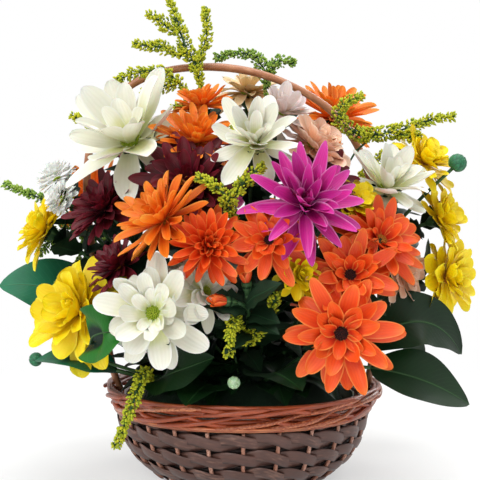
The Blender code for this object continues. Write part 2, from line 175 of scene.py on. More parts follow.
def petal_paint(name, base, middle, tip, edge, painted_shade, veins=0.35, rough=0.55, edge_width=0.25):
    """Petal: three colours along it, an edge, fine veins drawn toward the painted shade colour, and painted
    shade laid on random petals, so that it differs by petal.
    """
    p = Paint(name)
    along, across = p.along_across()
    tint = p.tint()
    mottle = p.noise(140, 4)
    warped = along + (mottle - 0.5) * 0.25 + (tint - 0.5) * 0.2
    colour = p.mix(p.step(warped, 0.02, 0.42), base, middle)
    colour = p.mix(p.step(warped, 0.5, 1.0), colour, tip)
    colour = p.mix(p.step(across.size(), 1 - edge_width, 1.0) * 0.7, colour, edge)
    lines = (across * 19 + (mottle - 0.5) * 2.5).sine() * 0.5 + 0.5
    # vein lines drawn darker in the painted shade colour
    colour = p.mix(lines * (veins * 0.55), colour, painted_shade)
    # painted shade: random petals darkened toward the painted shade colour
    colour = p.mix(p.step(tint, 0.35, 1.0) * 0.45, colour, painted_shade)
    height = lines * 0.5 + p.noise(420, 2) * 0.5
    return p.done(Base_Color=colour, Roughness=rough - mottle * 0.15 + 0.05,
                  Normal=p.bump(height, 0.35, 0.0004), Subsurface_Weight=0.12, Subsurface_Scale=0.004)


def leaf_paint(name, dark, light, vein, rough, hollow=0.0):
    """Leaf: midrib and side veins, paler along them, and a waxy blade. When hollow is given, painted shade
    darkens the foot of the blade to near black, standing for the shade in a cupped leaf's hollow; hollow sets
    how far up it reaches.
    """
    p = Paint(name)
    along, across = p.along_across()
    mottle = p.noise(60, 5)
    patch = p.noise(18, 2)
    ribs = ((along * 9 - across.size() * 2.2) * math.pi * 2).sine().size()
    side_vein = 1 - p.step(ribs, 0.0, 0.16)
    midrib = 1 - p.step(across.size(), 0.02, 0.07)
    lines = (side_vein * 0.45 + midrib).clip()
    colour = p.mix((mottle * 0.6 + patch * 0.7 - 0.1).clip(), dark, light)
    colour = p.mix(p.tint() * 0.4, colour, dark)
    colour = p.mix(lines * 0.4, colour, vein)
    # painted shade: near black at the foot of a cupped leaf, standing for the shade deep in its hollow
    if hollow:
        inner = 1 - p.step(along + across.size() * 0.45, hollow * 0.7, hollow)
        colour = p.mix(inner * 0.92, colour, "081418")
    height = mottle * 0.35 - lines
    return p.done(Base_Color=colour, Roughness=rough + mottle * 0.2 - 0.1,
                  Normal=p.bump(height, 0.3, 0.0005), Specular_IOR_Level=0.3)


def floret_paint(name, green, yellow, gold):
    """Goldenrod florets: green at the foot, yellow to gold at the tip."""
    p = Paint(name)
    along, across = p.along_across()
    tint = p.tint()
    colour = p.mix(p.step(along + (tint - 0.5) * 0.5, 0.1, 0.6), green, yellow)
    colour = p.mix(p.step(tint, 0.5, 1.0) * 0.6, colour, gold)
    colour = p.mix(p.noise(900, 2) * 0.3, colour, green)
    return p.done(Base_Color=colour, Roughness=0.6 + p.noise(500, 2) * 0.2,
                  Normal=p.bump(p.noise(1200, 2), 0.4, 0.0003))


def willow_paint(name, dark, middle, light, rough, stretch):
    """Stained willow or cane: long fibres, blotches of stain, pale streaks along the fibres that are partly
    grain and partly painted highlight, darker towards the edges across it, and fine pores.
    """
    p = Paint(name)
    along, across = p.along_across()
    place = p.node("UVMap", {"uv_map": "Grain"}, {})
    fibre = p.noise(1.0, 5, place, stretch)
    blotch = p.noise(55, 4)
    tint = p.tint()
    colour = p.mix((fibre * 0.9 + blotch * 0.5 - 0.2).clip(), dark, middle)
    # pale streaks along the fibres: grain, with the light colour also standing in as painted highlight
    colour = p.mix(p.step(fibre + (tint - 0.5) * 0.4, 0.55, 0.8) * 0.6, colour, light)
    colour = p.mix(p.step(across.size(), 0.7, 1.0) * 0.55, colour, dark)
    height = fibre * 0.7 + p.noise(700, 3) * 0.3
    return p.done(Base_Color=colour, Roughness=rough + fibre * 0.25 - 0.1,
                  Normal=p.bump(height, 0.5, 0.0005), Coat_Weight=0.18, Coat_Roughness=0.3)


def foam_paint():
    """Soaked floral foam: fine open cells and darker wet patches."""
    p = Paint("soaked_foam")
    cells = p.node("TexVoronoi", {}, {"Scale": 900.0}, "Distance")
    wet = p.noise(30, 4)
    colour = p.mix(wet, "0a2414", "1f4a2a")
    colour = p.mix(p.step(cells, 0.2, 0.7) * 0.5, colour, "06140b")
    return p.done(Base_Color=colour, Roughness=0.95 - wet * 0.3, Normal=p.bump(cells, 0.6, 0.0006))


def film_paint():
    """White plastic film: soft creases, a satin skin and a little dirt."""
    p = Paint("white_film")
    crease = p.noise(45, 5, stretch=(1, 1, 3))
    colour = p.mix(p.step(p.noise(20, 3), 0.5, 0.9) * 0.5, "e6e6e2", "b9b6ac")
    return p.done(Base_Color=colour, Roughness=0.35 + crease * 0.25, Normal=p.bump(crease, 0.5, 0.002))


PAINTS = {
    "white": petal_paint("white_petal", "d3d58a", "eceadb", "f2f2ee", "f4f4f2", "cdcbb4", 0.22),
    "pompom": petal_paint("pompom_petal", "e4e6d8", "f4f5f2", "f6f6f4", "f6f6f4", "e8eae6", 0.1),
    "cream": petal_paint("cream_petal", "c8a05c", "e8cb98", "f2dfb8", "f4e6c8", "c89c70", 0.4),
    "peach": petal_paint("peach_petal", "dca070", "ecbf9e", "f4dcc6", "f6e6d6", "d69a7c", 0.35),
    "blush": petal_paint("blush_petal", "c9b48c", "e2d3cc", "ece4e4", "efe8ea", "c4a9a4", 0.3),
    "orange": petal_paint("orange_petal", "c8240a", "f0560e", "f6821e", "faae54", "d83c0c", 0.4),
    "amber": petal_paint("amber_petal", "d8560a", "f08012", "f8a42a", "fbbe58", "e0660e", 0.4),
    "magenta": petal_paint("magenta_petal", "a00c70", "d42898", "e254b6", "f0aee0", "a8127c", 0.45),
    "burgundy": petal_paint("burgundy_petal", "30020a", "640616", "840a26", "921036", "2a0208", 0.25),
    "yellow": petal_paint("yellow_petal", "e4bc00", "f6dc00", "fae80c", "fcf048", "eac800", 0.2),
    "teal_leaf": leaf_paint("blue_green_leaf", "0b5038", "20845c", "4aa682", 0.45),
    # the last number is how far up the leaf foot the painted shade of its hollow reaches
    "bright_leaf": leaf_paint("bright_green_leaf_painted_hollow_shade", "083a0a", "1c7c16", "409c34", 0.45, 0.55),
    "leaf": leaf_paint("deep_green_leaf", "04150a", "123c12", "24561f", 0.5),
    "stem_leaf": leaf_paint("flower_leaf", "071a0d", "16391c", "2c5a34", 0.65),
    "stem": leaf_paint("green_stem", "1c3c22", "44683a", "6c9058", 0.55),
    "bud": petal_paint("bud_green", "0c4a2c", "1c6a44", "2c8a5c", "3aa070", "0a3a24", 0.5),
    "pale_bud": petal_paint("bud_pale", "5c8a4c", "9cc48c", "cfe4c0", "e0efd4", "5c8a58", 0.5),
    "eye_green": floret_paint("green_eye", "5c7a10", "93a81c", "b4b83a"),
    "eye_dark": floret_paint("dark_eye", "160406", "2c0a08", "4a1408"),
    "eye_amber": floret_paint("amber_eye", "6a3a0a", "b8741a", "d89a2c"),
    "floret": floret_paint("goldenrod_floret", "6c8c1c", "bcc01c", "d8cc18"),
    "pale_floret": floret_paint("green_goldenrod_floret", "4a7a34", "8cae3c", "b4c45c"),
    "band": willow_paint("brown_weaver", "38221c", "6e4a40", "96705f", 0.5, (8, 60, 1)),
    "stake": willow_paint("pale_stake", "8a5440", "bc8872", "d8aa96", 0.5, (8, 30, 1)),
    # painted shade: near-black rods set behind the weave so the gaps between weavers read dark
    "shade_rod": willow_paint("painted_shade_rod", "140a08", "2a1610", "3c2218", 0.7, (8, 30, 1)),
    "rod": willow_paint("border_rod", "6a2810", "c65a2e", "e49c6a", 0.38, (7, 60, 1)),
    "cane": willow_paint("handle_cane", "8a4c2c", "c4865c", "dcae88", 0.4, (6, 60, 1)),
}


# ---------------------------------------------------------------- mesh making

class Body:
    """Gathers the faces of one piece, with a place and a tint on each."""

    def __init__(self):
        self.points = []
        self.faces = []
        self.slots = []
        self.places = []
        self.tints = []
        self.count = 0
        self.paints = []

    def grid(self, rows, paint, tint, round_=False):
        """Faces between rows of points. Each row runs across, and the rows follow each other along."""
        rows = np.asarray(rows, float)
        n, m = rows.shape[:2]
        if paint not in self.paints:
            self.paints.append(paint)
        slot = self.paints.index(paint)
        index = np.arange(n * m).reshape(n, m) + self.count
        columns = m if round_ else m - 1
        for i in range(n - 1):
            for j in range(columns):
                k = (j + 1) % m
                self.faces.append((index[i, j], index[i, k], index[i + 1, k], index[i + 1, j]))
                a, b = j / columns, (j + 1) / columns
                low, high = i / (n - 1), (i + 1) / (n - 1)
                self.places += [(a, low), (b, low), (b, high), (a, high)]
                self.slots.append(slot)
        self.points.append(rows.reshape(-1, 3))
        self.tints += [tint] * (n * m)
        self.count += n * m

    def tube(self, path, radius, paint, tint, sides=8, flat=1.0, closed=False):
        """A round or flattened rod along a path. radius is one number or one for each point."""
        path = np.asarray(path, float)
        radius = np.broadcast_to(radius, len(path))
        ahead = np.roll(path, -1, 0) - np.roll(path, 1, 0)
        if not closed:
            ahead[0] = path[1] - path[0]
            ahead[-1] = path[-1] - path[-2]
        ahead /= np.linalg.norm(ahead, axis=1)[:, None]
        side = np.cross(ahead[0], (0.31, 0.22, 0.93))
        rows = []
        turn = np.linspace(0, 2 * math.pi, sides, endpoint=False)
        for p, a, r in zip(path, ahead, radius):
            side = side - a * side.dot(a)
            side /= np.linalg.norm(side)
            up = np.cross(a, side)
            rows.append(p + np.outer(np.cos(turn) * r, side) + np.outer(np.sin(turn) * r * flat, up))
        if closed:
            rows.append(rows[0])
        else:
            rows = [np.repeat(path[:1], sides, 0)] + rows + [np.repeat(path[-1:], sides, 0)]
        self.grid(rows, paint, tint, round_=True)

    def build(self, name, node=None):
        mesh = bpy.data.meshes.new(name)
        mesh.from_pydata(np.concatenate(self.points).tolist(), [], [tuple(map(int, f)) for f in self.faces])
        layer = mesh.uv_layers.new(name="Grain")
        layer.data.foreach_set("uv", np.array(self.places, np.float32).ravel())
        tint = mesh.attributes.new("tint", "FLOAT", "POINT")
        tint.data.foreach_set("value", np.array(self.tints, np.float32))
        for key in self.paints:
            mesh.materials.append(PAINTS[key])
        mesh.polygons.foreach_set("material_index", np.array(self.slots, np.int32))
        mesh.polygons.foreach_set("use_smooth", np.ones(len(self.faces), bool))
        mesh.validate()
        mesh.update()
        ob = bpy.data.objects.new(name, mesh)
        bpy.context.scene.collection.objects.link(ob)
        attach(ob, "root")
        if node:
            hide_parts(node)
        return ob


def unit(v):
    v = np.asarray(v, float)
    return v / np.linalg.norm(v)


def axes(forward):
    """Two directions square to forward."""
    other = (0, 0, 1) if abs(forward[2]) < 0.9 else (0, 1, 0)
    right = unit(np.cross(other, forward))
    return right, np.cross(forward, right)


def set_in(rows, out, side, away):
    """Rows drawn along +X turned so that X runs out, Y to the side and Z away."""
    return rows[..., :1] * out + rows[..., 1:2] * side + rows[..., 2:] * away


def curve(control, count):
    """Points on a cubic with four control points."""
    t = np.linspace(0, 1, count)[:, None]
    a, b, c, d = control
    s = 1 - t
    return a * s ** 3 + b * 3 * s * s * t + c * 3 * s * t * t + d * t ** 3


def smooth(points, count):
    """Evenly spread points on a soft curve through the given ones."""
    p = np.asarray(points, float)
    p = np.vstack([p[0] * 2 - p[1], p, p[-1] * 2 - p[-2]])
    u = np.linspace(0, len(p) - 3, count)
    i = np.minimum(u.astype(int), len(p) - 4)
    t = (u - i)
    t = t.reshape(-1, *([1] * (p.ndim - 1)))
    a, b, c, d = p[i], p[i + 1], p[i + 2], p[i + 3]
    return (2 * b + (c - a) * t + (2 * a - 5 * b + 4 * c - d) * t * t + (3 * b - a - 3 * c + d) * t ** 3) / 2


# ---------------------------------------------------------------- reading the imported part

def solid(node):
    """A node's distinct corners, and its triangles on them."""
    mesh = NODES[node].data
    points = np.array([v.co for v in mesh.vertices])
    keys = {}
    match = []
    for p in np.round(points, 6):
        match.append(keys.setdefault(tuple(p), len(keys)))
    corners = np.zeros((len(keys), 3))
    for p, m in zip(points, match):
        corners[m] = p
    mesh.calc_loop_triangles()
    triangles = [tuple(match[v] for v in t.vertices) for t in mesh.loop_triangles]
    return corners, triangles


def heads(node):
    """Centre, facing and radius of each flower head: the flat eyes of a bloom, largest first."""
    corners, triangles = solid(node)
    flats = {}
    for t in triangles:
        a, b, c = corners[list(t)]
        normal = np.cross(b - a, c - a)
        size = np.linalg.norm(normal)
        if size < 1e-10:
            continue
        normal /= size
        key = tuple(np.round(normal, 2)) + (round(float(normal.dot(a)) * 2000),)
        flats.setdefault(key, []).append((t, normal))
    found = []
    for group in flats.values():
        if len(group) < 10:
            continue
        ring = corners[sorted({i for t, _ in group for i in t})]
        centre = ring.mean(0)
        facing = unit(sum(n for _, n in group))
        radius = np.linalg.norm(ring - centre, axis=1).mean() / EYE_SHARE
        found.append((centre - facing * EYE_LIFT * MM, facing, radius))
    return sorted(found, key=lambda h: -h[2])


def neighbours(corners, triangles):
    """For each corner, the corners that it shares an edge with."""
    near = {i: set() for i in range(len(corners))}
    for a, b, c in triangles:
        near[a] |= {b, c}
        near[b] |= {a, c}
        near[c] |= {a, b}
    return near


def foot(corners):
    """Where a stem ends in the foam."""
    gaps = np.linalg.norm(corners - STEMS_MEET, axis=1)
    return corners[gaps < gaps.min() + 0.4 * MM].mean(0)


def rings(node):
    """The rings of corners of a swept body, from the end in the foam outwards, split where it branches.
    Each is its corners and the index of the ring it follows."""
    corners, triangles = solid(node)
    near = neighbours(corners, triangles)
    gaps = np.linalg.norm(corners - STEMS_MEET, axis=1)
    level = [i for i in range(len(corners)) if gaps[i] < gaps.min() + 1.0 * MM]
    seen = set(level)
    found = [(corners[level], -1)]
    owner = {i: 0 for i in level}
    while level:
        after = {j for i in level for j in near[i]} - seen
        seen |= after
        left = set(after)
        level = list(after)
        while left:
            cluster = {left.pop()}
            edge = set(cluster)
            while edge:
                edge = {j for i in edge for j in near[i]} & left
                cluster |= edge
                left -= edge
            parents = [owner[j] for i in cluster for j in near[i] if j in owner and j not in after]
            for i in cluster:
                owner[i] = len(found)
            found.append((corners[sorted(cluster)], max(set(parents), key=parents.count)))
    return found


# ---------------------------------------------------------------- flowers

def petal_rows(length, width, lift, bend, form, rng, rows=11, columns=7):
    """A petal that grows from the origin along +X, with +Z away from the stem. lift and bend are in degrees.
    form says where it is widest, how broad its foot is, how blunt its tip is, its cupping and its ruffle."""
    widest, foot_share, blunt, cup, ruffle = form
    s = np.sin(np.linspace(0, 1, rows) * math.pi / 2)
    across = np.linspace(-1, 1, columns)
    rise_part = foot_share + (1 - foot_share) * np.sin(math.pi / 2 * np.clip(s / widest, 0, 1))
    tip_part = np.sqrt(1 - np.clip((s - widest) / (1 - widest), 0, 1) ** blunt)
    half = width / 2 * rise_part * tip_part + 0.05 * MM
    curl = rng.choice((0, 0, 0, 20, -25)) * np.clip(s - 0.6, 0, 1) * 2
    angle = np.radians(lift + bend * s + curl + rng.uniform(-4, 4))
    run = length * np.diff(s)
    out = np.concatenate([[0], np.cumsum(np.cos(angle[:-1]) * run)])
    up = np.concatenate([[0], np.cumsum(np.sin(angle[:-1]) * run)])
    twist = math.radians(rng.uniform(-24, 24))
    sway = rng.uniform(-0.1, 0.1) * length
    fold = rng.uniform(0.4, 1.4) * cup
    wave = rng.uniform(0, 6)
    made = np.zeros((rows, columns, 3))
    for i in range(rows):
        edge = ruffle * np.sin(wave + s[i] * 11 + across * 2) * across ** 2
        rise = half[i] * (fold * across ** 2 + math.sin(twist * s[i]) * across + edge)
        made[i, :, 0] = out[i] - math.sin(angle[i]) * rise - 0.06 * half[i] * across ** 2
        made[i, :, 1] = half[i] * across * math.cos(twist * s[i]) + sway * s[i] ** 2
        made[i, :, 2] = up[i] + math.cos(angle[i]) * rise
    return made


# Layers of petals from the outside in: how many, length and width against the head's radius, lift and bend
# in degrees, and how far out and up they start.
SHAPES = {
    "daisy": [
        (9, 1.32, 0.56, -10, 6, 0.17, 0), (9, 1.24, 0.52, 10, 18, 0.16, 0.04),
        (8, 1.0, 0.44, 34, 18, 0.15, 0.06), (7, 0.58, 0.32, 62, -60, 0.19, 0.05),
    ],
    "tulip": [
        (7, 1.4, 0.5, -14, 10, 0.12, 0), (7, 1.38, 0.54, 26, 14, 0.1, 0.03),
        (6, 1.24, 0.5, 50, 10, 0.08, 0.06), (5, 0.86, 0.38, 68, 6, 0.05, 0.08),
    ],
    "spiky": [
        (14, 1.32, 0.27, -14, 12, 0.14, 0), (14, 1.3, 0.28, 12, 14, 0.13, 0.03),
        (13, 1.16, 0.28, 34, 12, 0.11, 0.06), (11, 0.92, 0.27, 52, 10, 0.09, 0.08),
        (8, 0.62, 0.23, 70, 8, 0.05, 0.1),
    ],
    "star": [
        (10, 1.38, 0.46, -16, 8, 0.15, 0), (10, 1.26, 0.44, 8, 14, 0.14, 0.03),
        (9, 1.04, 0.4, 34, 12, 0.13, 0.06), (7, 0.62, 0.34, 62, -30, 0.15, 0.06),
    ],
    "lotus": [
        (11, 1.34, 0.34, -6, 14, 0.13, 0), (11, 1.34, 0.34, 18, 12, 0.11, 0.03),
        (10, 1.24, 0.33, 42, 10, 0.09, 0.06), (8, 1.02, 0.3, 62, 8, 0.07, 0.08),
        (4, 0.7, 0.24, 80, 6, 0.03, 0.1),
    ],
    "dense": [
        (16, 1.3, 0.31, -8, 10, 0.17, 0), (15, 1.18, 0.31, 10, 12, 0.15, 0.04),
        (13, 0.96, 0.3, 28, 14, 0.12, 0.08), (11, 0.72, 0.27, 46, 14, 0.08, 0.1),
        (8, 0.46, 0.22, 64, 10, 0.05, 0.12),
    ],
    "ruffled": [
        (11, 1.3, 0.54, -8, 8, 0.15, 0), (11, 1.2, 0.54, 10, 12, 0.14, 0.04),
        (9, 1.0, 0.5, 32, 14, 0.11, 0.08), (8, 0.78, 0.44, 54, 10, 0.08, 0.1),
        (5, 0.52, 0.36, 74, 6, 0.04, 0.12),
    ],
    "droop": [
        (13, 1.25, 0.38, -14, -30, 0.14, 0), (12, 1.18, 0.38, 4, -30, 0.12, 0.05),
        (10, 0.96, 0.34, 30, -10, 0.1, 0.1), (7, 0.7, 0.3, 56, 0, 0.06, 0.12),
    ],
    "pompom": [
        (20, 0.62, 0.34, -34, 22, 0.44, -0.12), (20, 0.62, 0.34, -14, 22, 0.48, 0.04),
        (20, 0.6, 0.33, 4, 22, 0.46, 0.2), (18, 0.56, 0.32, 22, 20, 0.4, 0.34),
        (16, 0.5, 0.3, 40, 18, 0.32, 0.45), (12, 0.42, 0.26, 56, 14, 0.2, 0.53),
        (8, 0.36, 0.22, 70, 10, 0.1, 0.57), (5, 0.3, 0.2, 82, 6, 0.04, 0.6),
    ],
    "bud": [
        (7, 1.5, 0.9, 70, 26, 0.3, -0.3), (6, 1.45, 0.8, 76, 22, 0.2, -0.2),
        (4, 1.3, 0.6, 84, 10, 0.1, -0.1),
    ],
}
# Petal forms: where it is widest, breadth of the foot, bluntness of the tip, cupping and ruffle
FORMS = {
    "daisy": (0.66, 0.4, 2.6, 0.3, 0.12), "tulip": (0.6, 0.42, 2.3, 0.36, 0.06),
    "spiky": (0.66, 0.5, 2.2, 0.7, 0.03), "star": (0.58, 0.36, 1.8, 0.4, 0.08),
    "lotus": (0.5, 0.4, 1.5, 0.6, 0.05), "dense": (0.62, 0.42, 2.0, 0.5, 0.08),
    "ruffled": (0.7, 0.36, 2.6, 0.32, 0.12), "droop": (0.62, 0.4, 2.4, 0.45, 0.1),
    "pompom": (0.7, 0.55, 3.0, 0.25, 0.0), "bud": (0.5, 0.5, 1.8, 0.5, 0.0),
    "scale": (0.4, 0.7, 1.6, 0.5, 0.0),
}

# Each bloom: for every head, largest first, its shape, petal colour and eye, and for some how much larger or
# smaller the petals are than the head's own radius gives
BLOOMS = {
    "white_upper_left": [("tulip", "white", "eye_green", 1.14)],
    "white_front": [("daisy", "white", "eye_green", 0.88)],
    "white_front_spray": [("daisy", "white", "eye_green"), ("tulip", "white", "eye_green")],
    "white_centre": [("tulip", "white", "eye_green"), ("tulip", "blush", "eye_green")],
    "white_right": [("tulip", "white", "eye_green")],
    "pompom_spray": [("pompom", "pompom", "eye_green"), ("pompom", "pompom", "eye_green")],
    "cream_spray": [("droop", "cream", "eye_green", 1.2), ("ruffled", "peach", "eye_green", 1.1)],
    "peach_right": [("ruffled", "peach", "eye_amber")],
    "orange_upper_left": [("spiky", "amber", "eye_amber"), ("spiky", "amber", "eye_amber")],
    "orange_left": [("spiky", "amber", "eye_amber")],
    "orange_inner_left": [("spiky", "orange", "eye_amber")],
    "orange_centre": [("star", "orange", "eye_dark")],
    "orange_upper_right": [("spiky", "amber", "eye_amber", 1.15)],
    "orange_right_spray": [("star", "orange", "eye_amber"), ("star", "orange", "eye_dark")],
    "orange_low": [("star", "orange", "eye_dark")],
    "orange_buds": [("bud", "orange", None), ("bud", "orange", None)],
    "magenta": [("lotus", "magenta", "eye_dark", 0.94)],
    "burgundy_left_spray": [("dense", "burgundy", "eye_dark"), ("dense", "burgundy", "eye_amber")],
    "burgundy_centre": [("dense", "burgundy", "eye_dark", 1.15)],
    "burgundy_right": [("dense", "burgundy", "eye_dark", 1.2)],
    "yellow_upper_left": [("ruffled", "yellow", "eye_amber")],
    "yellow_left": [("ruffled", "yellow", "eye_amber")],
    "yellow_right_spray": [("ruffled", "yellow", "eye_amber"), ("ruffled", "yellow", "eye_amber")],
    "yellow_low_right": [("ruffled", "yellow", "eye_amber")],
    "yellow_inner_spray": [("ruffled", "yellow", "eye_amber"), ("ruffled", "yellow", "eye_amber"),
                           ("bud", "cream", None)],
    "back_orange_spray": [("spiky", "orange", "eye_amber"), ("star", "orange", "eye_dark")],
    "back_white_spray": [("daisy", "white", "eye_green"), ("tulip", "white", "eye_green")],
    "back_yellow_spray": [("ruffled", "yellow", "eye_amber"), ("ruffled", "yellow", "eye_amber")],
    "back_magenta_spray": [("lotus", "magenta", "eye_dark"), ("lotus", "magenta", "eye_dark")],
    "back_amber_spray": [("spiky", "amber", "eye_amber"), ("dense", "burgundy", "eye_dark")],
}


# Heads whose petals lie better from another start, heads that stand proud of their neighbours by some
# millimetres, and how many leaves the stems in the open side of the bouquet carry
SEEDS = {"white_upper_left": "third"}
PROUD = {"white_front": 6, "white_upper_left": 4, "white_centre": 2}
LEAFY = {"yellow_upper_left": 15, "burgundy_left_spray": 14, "pompom_spray": 12}


def eye(body, centre, facing, radius, paint, rng):
    """A domed eye of tiny tight florets, set in the golden-angle spiral."""
    right, up = axes(facing)
    count = int(30 + radius / MM * 9)
    for i in range(count):
        share = math.sqrt((i + 0.5) / count)
        turn = i * GOLDEN_ANGLE
        spread = right * math.cos(turn) + up * math.sin(turn)
        base = centre + spread * radius * share + facing * radius * 0.45 * (1 - share ** 2)
        lean = unit(facing + spread * share * 0.7)
        grain = radius * 0.13
        body.tube([base - lean * grain, base + lean * grain * 0.5, base + lean * grain * 1.3],
                  [grain * 0.9, grain, grain * 0.5], paint, rng.random(), 5)


def flower(body, centre, facing, radius, shape, colour, eye_paint, rng):
    """Layers of petals round an eye."""
    right, up = axes(facing)
    turned = rng.uniform(0, 2 * math.pi)
    for number, (count, length, width, lift, bend, start, rise) in enumerate(SHAPES[shape]):
        for i in range(count):
            turn = turned + 2 * math.pi * (i + 0.5 * (number % 2) + rng.uniform(-0.16, 0.16)) / count
            out = right * math.cos(turn) + up * math.sin(turn)
            side = np.cross(facing, out)
            size = rng.uniform(0.78, 1.1)
            rows = petal_rows(length * radius * size, width * radius * rng.uniform(0.85, 1.15),
                              lift + rng.uniform(-12, 12), bend + rng.uniform(-16, 16), FORMS[shape], rng)
            origin = centre + out * start * radius + facing * rise * radius
            body.grid(set_in(rows, out, side, facing) + origin, colour, rng.random())
        turned += 1.1
    if eye_paint:
        eye(body, centre + facing * radius * 0.02, facing, radius * 0.23, eye_paint, rng)


def calyx(body, centre, facing, radius, rng):
    """The green cup behind a head, with its overlapping bracts."""
    cup = max(radius * 0.26, 3.2 * MM)
    right, up = axes(facing)
    heights = np.array([-9.5, -7.5, -5.5, -3, -1]) * MM
    widths = np.array([1.5 * MM, cup * 0.62, cup * 0.9, cup * 1.06, cup])
    body.tube([centre + facing * h for h in heights], widths, "stem", rng.random(), 10)
    for i in range(12):
        turn = 2 * math.pi * i / 12 + (i % 2) * 0.1
        out = right * math.cos(turn) + up * math.sin(turn)
        rows = petal_rows(cup * 1.5, cup * 0.6, 58, -34, FORMS["scale"], rng, 5, 3)
        placed = set_in(rows, out, np.cross(facing, out), facing)
        body.grid(placed + centre + out * cup * 0.62 - facing * 6.4 * MM, "stem_leaf", rng.random())


def blade_rows(length, width, droop, rng, lobes=0.0):
    """A leaf blade along +X: widest before the middle, folded a little at the midrib."""
    rows, columns = 9, 7
    s = np.linspace(0, 1, rows)
    across = np.linspace(-1, 1, columns)
    half = width / 2 * np.sin(math.pi * np.clip(s, 0, 1) ** 0.75) ** 0.8
    half = half * (1 + lobes * np.sin(s * 21)) + 0.2 * MM
    angle = np.radians(rng.uniform(5, 25)) - droop * s
    run = length / (rows - 1)
    out = np.concatenate([[0], np.cumsum(np.cos(angle[:-1]) * run)])
    up = np.concatenate([[0], np.cumsum(np.sin(angle[:-1]) * run)])
    made = np.zeros((rows, columns, 3))
    wave = rng.uniform(0, 6)
    for i in range(rows):
        made[i, :, 0] = out[i]
        made[i, :, 1] = half[i] * across
        made[i, :, 2] = up[i] + half[i] * (0.3 * np.abs(across) + 0.1 * np.sin(wave + s[i] * 9 + across * 2))
    return made


def stem_leaves(body, path, rng, count, low, high):
    """Lobed leaves along a stem."""
    for i in range(count):
        share = low + (high - low) * (i + rng.uniform(0, 0.8)) / count
        k = int(share * (len(path) - 2))
        ahead = unit(path[k] - path[k + 1])
        right, up = axes(ahead)
        turn = i * 2.4 + rng.uniform(0, 1.2)
        out = unit(right * math.cos(turn) + up * math.sin(turn) + ahead * 0.5)
        side = unit(np.cross(ahead, out))
        length = rng.uniform(24, 36) * MM
        width = rng.uniform(13, 19) * MM
        rows = blade_rows(length, width, rng.uniform(0.2, 0.9), rng, lobes=0.16)
        body.grid(set_in(rows, out, side, np.cross(out, side)) + path[k], "stem_leaf", rng.random())


def bloom(node, styles):
    """Stems, leaves, calyxes and heads of one bloom or spray."""
    rng = random.Random(SEEDS.get(node, node))
    body = Body()
    corners, _ = solid(node)
    found = heads(node)
    end = foot(corners)
    out = unit(end - STEMS_MEET)
    order = sorted(range(len(found)), key=lambda i: -unit(found[i][0] - STEMS_MEET).dot(out))
    main = None
    for i in order:
        centre, facing, radius = found[i]
        shape, colour, eye_paint = styles[i][:3]
        radius *= styles[i][3] if len(styles[i]) > 3 else 1.0
        centre = centre + facing * PROUD.get(node, 0) * MM
        neck = centre - facing * NECK * MM
        if main is None:
            run = np.linalg.norm(neck - end)
            main = [neck, neck - facing * run * 0.3, end + out * run * 0.42, end]
            path = curve(main, 20)
            stem_leaves(body, path, rng, LEAFY.get(node, 8), 0.08, 0.8)
        else:
            spine = curve(main, 6)
            joint = spine[3]
            run = np.linalg.norm(neck - joint)
            inward = unit(joint - centre) * 0.6 + unit(spine[4] - spine[2]) * 0.4
            path = curve([neck, neck - facing * run * 0.3, joint - inward * run * 0.42, joint], 14)
            stem_leaves(body, path, rng, 5, 0.1, 0.8)
        body.tube(path, 1.35 * MM, "stem", rng.random(), 8)
        calyx(body, centre, facing, radius, rng)
        flower(body, centre, facing, radius, shape, colour, eye_paint, rng)
    return body.build(node + "_flower", node)


def bud(node, paint):
    """A tight bud: overlapping scales round a knob, on its stem."""
    rng = random.Random(node)
    body = Body()
    found = rings(node)
    centres = np.array([r.mean(0) for r, _ in found])
    spread = np.array([np.linalg.norm(r - r.mean(0), axis=1).mean() for r, _ in found])
    wide = int(spread.argmax())
    stem = centres[:max(wide, 3)]
    facing = unit(centres[-1] - centres[wide])
    radius = spread.max()
    body.tube(smooth(stem, 18), 1.2 * MM, "stem", 0.4, 8)
    centre = centres[wide]
    right, up = axes(facing)
    turns = np.linspace(0, math.pi, 9)
    knob = [centre + facing * radius * 0.85 * -math.cos(t) for t in turns]
    body.tube(knob, radius * 0.86 * np.sin(turns) + 0.1 * MM, paint, 0.5, 14)
    for layer in range(4):
        count = 11 - layer * 2
        for i in range(count):
            turn = 2 * math.pi * (i + layer * 0.5) / count
            rows = []
            for share in np.linspace(0, 1, 6):
                height = math.radians(-60 + layer * 26 + share * 62)
                half = 3.6 / count * math.sqrt(1 - share ** 2)
                row = []
                for across in np.linspace(-1, 1, 5):
                    bearing = turn + half * across
                    out = (right * math.cos(bearing) + up * math.sin(bearing)) * math.cos(height)
                    reach = radius * (0.93 + 0.07 * share - 0.04 * across ** 2)
                    row.append(centre + (out + facing * math.sin(height)) * reach)
                rows.append(row)
            body.grid(rows, paint, rng.random())
    return body.build(node + "_bud", node)


# ---------------------------------------------------------------- foliage

LEAVES = {
    "leaf_left_large": "teal_leaf", "leaf_left_cupped": "bright_leaf", "leaf_left_low": "teal_leaf",
    "leaf_front_left": "leaf", "leaf_front_tip": "leaf", "leaf_front_right": "leaf",
    "leaf_right_upper": "leaf", "leaf_right_lower": "leaf", "leaf_back_left": "leaf",
    "leaf_back_right": "leaf", "leaf_back": "leaf",
}


# How far a leaf cups, and how deep the hollow near its foot is in mm
CUPS = {"leaf_left_cupped": (0.3, 7)}


